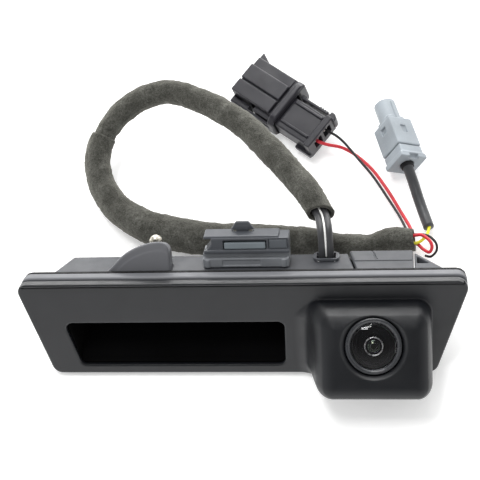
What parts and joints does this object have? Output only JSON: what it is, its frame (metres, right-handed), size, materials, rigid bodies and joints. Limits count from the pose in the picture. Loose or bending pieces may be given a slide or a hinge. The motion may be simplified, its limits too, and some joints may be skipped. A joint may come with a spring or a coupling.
{
  "type": "tailgate handle with reversing camera",
  "caption": "Black vehicle tailgate handle trim with a finger pocket, release switch, square-fronted reversing camera and a felt-wrapped wiring harness ending in two connectors.",
  "frame": {"origin": "centre of the handle's sloped underside, the face it lies on when it is set down on a bench", "axes": "+Z along the bench's normal, +X along the handle towards the camera, +Y away from the trim face towards the harness"},
  "size_m": [0.149, 0.1449, 0.034],
  "materials": {
    "trim_black": "fine grained moulded black plastic, soft sheen",
    "frame_black": "bare moulded glass-filled plastic, satin",
    "pocket_black": "deep black soft-touch plastic",
    "rubber": "matt black rubber or foam",
    "steel": "plain steel",
    "brass": "nickel-washed brass",
    "tin": "tin plated",
    "felt": "olive grey felted fleece tape",
    "blue_grey": "satin blue-grey plastic",
    "violet_black": "satin near-black plastic",
    "board": "green solder mask",
    "optic": "coated dark optical glass, reads near black from outside",
    "silicon": "sensor face",
    "white": "white wire insulation",
    "red": "red wire insulation",
    "yellow": "yellow wire insulation",
    "cable_grey": "dark grey cable jacket",
    "natural": "undyed plastic"
  },
  "bodies": {
    "handle": {"front_bezel": "trim_black", "bezel_seal": "rubber", "rear_frame": "frame_black", "flange_gasket": "rubber", "threaded_insert": "brass", "finger_pocket": "pocket_black", "pad_pivot_pin": "steel", "switch_housing": "frame_black", "switch_cover": "frame_black", "switch_boot": "rubber", "contact_spring": "steel", "switch_terminal_a": "tin", "switch_terminal_b": "tin", "camera_front_housing": "trim_black", "lens_bezel_ring": "trim_black", "front_glass": "optic", "inner_lens": "optic", "lens_retaining_ring": "tin", "lens_barrel": "pocket_black", "lens_o_ring": "rubber", "lens_holder": "frame_black", "sensor_board": "board", "image_sensor": "silicon", "camera_screw_1": "steel", "camera_screw_2": "steel", "camera_rear_cover": "frame_black", "cable_grommet": "rubber", "video_cable": "cable_grey", "power_cable": "cable_grey", "trigger_wire": "white", "felt_sleeve_upper": "felt", "felt_sleeve_lower": "felt", "harness_bundle": "cable_grey", "red_wire": "red", "black_wire": "trim_black", "red_slack_loop": "red", "black_slack_loop": "trim_black", "yellow_wire": "yellow", "coax_jacket": "cable_grey", "coax_ferrule": "tin", "coax_dielectric": "natural", "coax_contact": "brass", "plug_body": "violet_black", "plug_terminal_1": "tin", "plug_terminal_2": "tin"},
    "release_pad": {"release_pad": "pocket_black"},
    "plunger": {"switch_plunger": "natural"},
    "latch_tab": {"switch_latch_tab": "frame_black"},
    "plug_latch": {"plug_latch": "violet_black"},
    "receptacle": {"receptacle_shroud": "violet_black", "receptacle_pin_1": "tin", "receptacle_pin_2": "tin"},
    "coax_shell": {"coax_housing": "blue_grey"},
    "coax_lock": {"coax_lock": "blue_grey"}
  },
  "joints": [
    {"name": "release_pad_press", "type": "hinge", "parent": "handle", "child": "release_pad", "pos_m": [-0.019, 0.00782, 0.01911], "axis": [1, 0, 0], "range_deg": [0, 5]},
    {"name": "switch_plunger_travel", "type": "slide", "parent": "handle", "child": "plunger", "axis": [0, 0.5446, 0.8387], "range_m": [0, 0.0008]},
    {"name": "latch_tab_flex", "type": "hinge", "parent": "handle", "child": "latch_tab", "pos_m": [0.0005, 0.02503, 0.02963], "axis": [-1, 0, 0], "range_deg": [0, 6]},
    {"name": "plug_latch_press", "type": "hinge", "parent": "handle", "child": "plug_latch", "pos_m": [0.02127, 0.09255, 0.01045], "axis": [0.1306, 0.1618, -0.9781], "range_deg": [0, 4]},
    {"name": "receptacle_unplug", "type": "slide", "parent": "handle", "child": "receptacle", "axis": [-0.7782, 0.628, 0], "range_m": [0, 0.016]},
    {"name": "coax_shell_spin", "type": "hinge", "parent": "handle", "child": "coax_shell", "pos_m": [0.0549, 0.0673, 0.0081], "axis": [-0.284, 0.9588, 0], "continuous": true},
    {"name": "coax_lock_slide", "type": "slide", "parent": "coax_shell", "child": "coax_lock", "axis": [0.284, -0.9588, 0], "range_m": [0, 0.003]}
  ],
  "couplings": [
    {"joint": "switch_plunger_travel", "follows": "release_pad_press", "m_per_rad": 0.007}
  ]
}
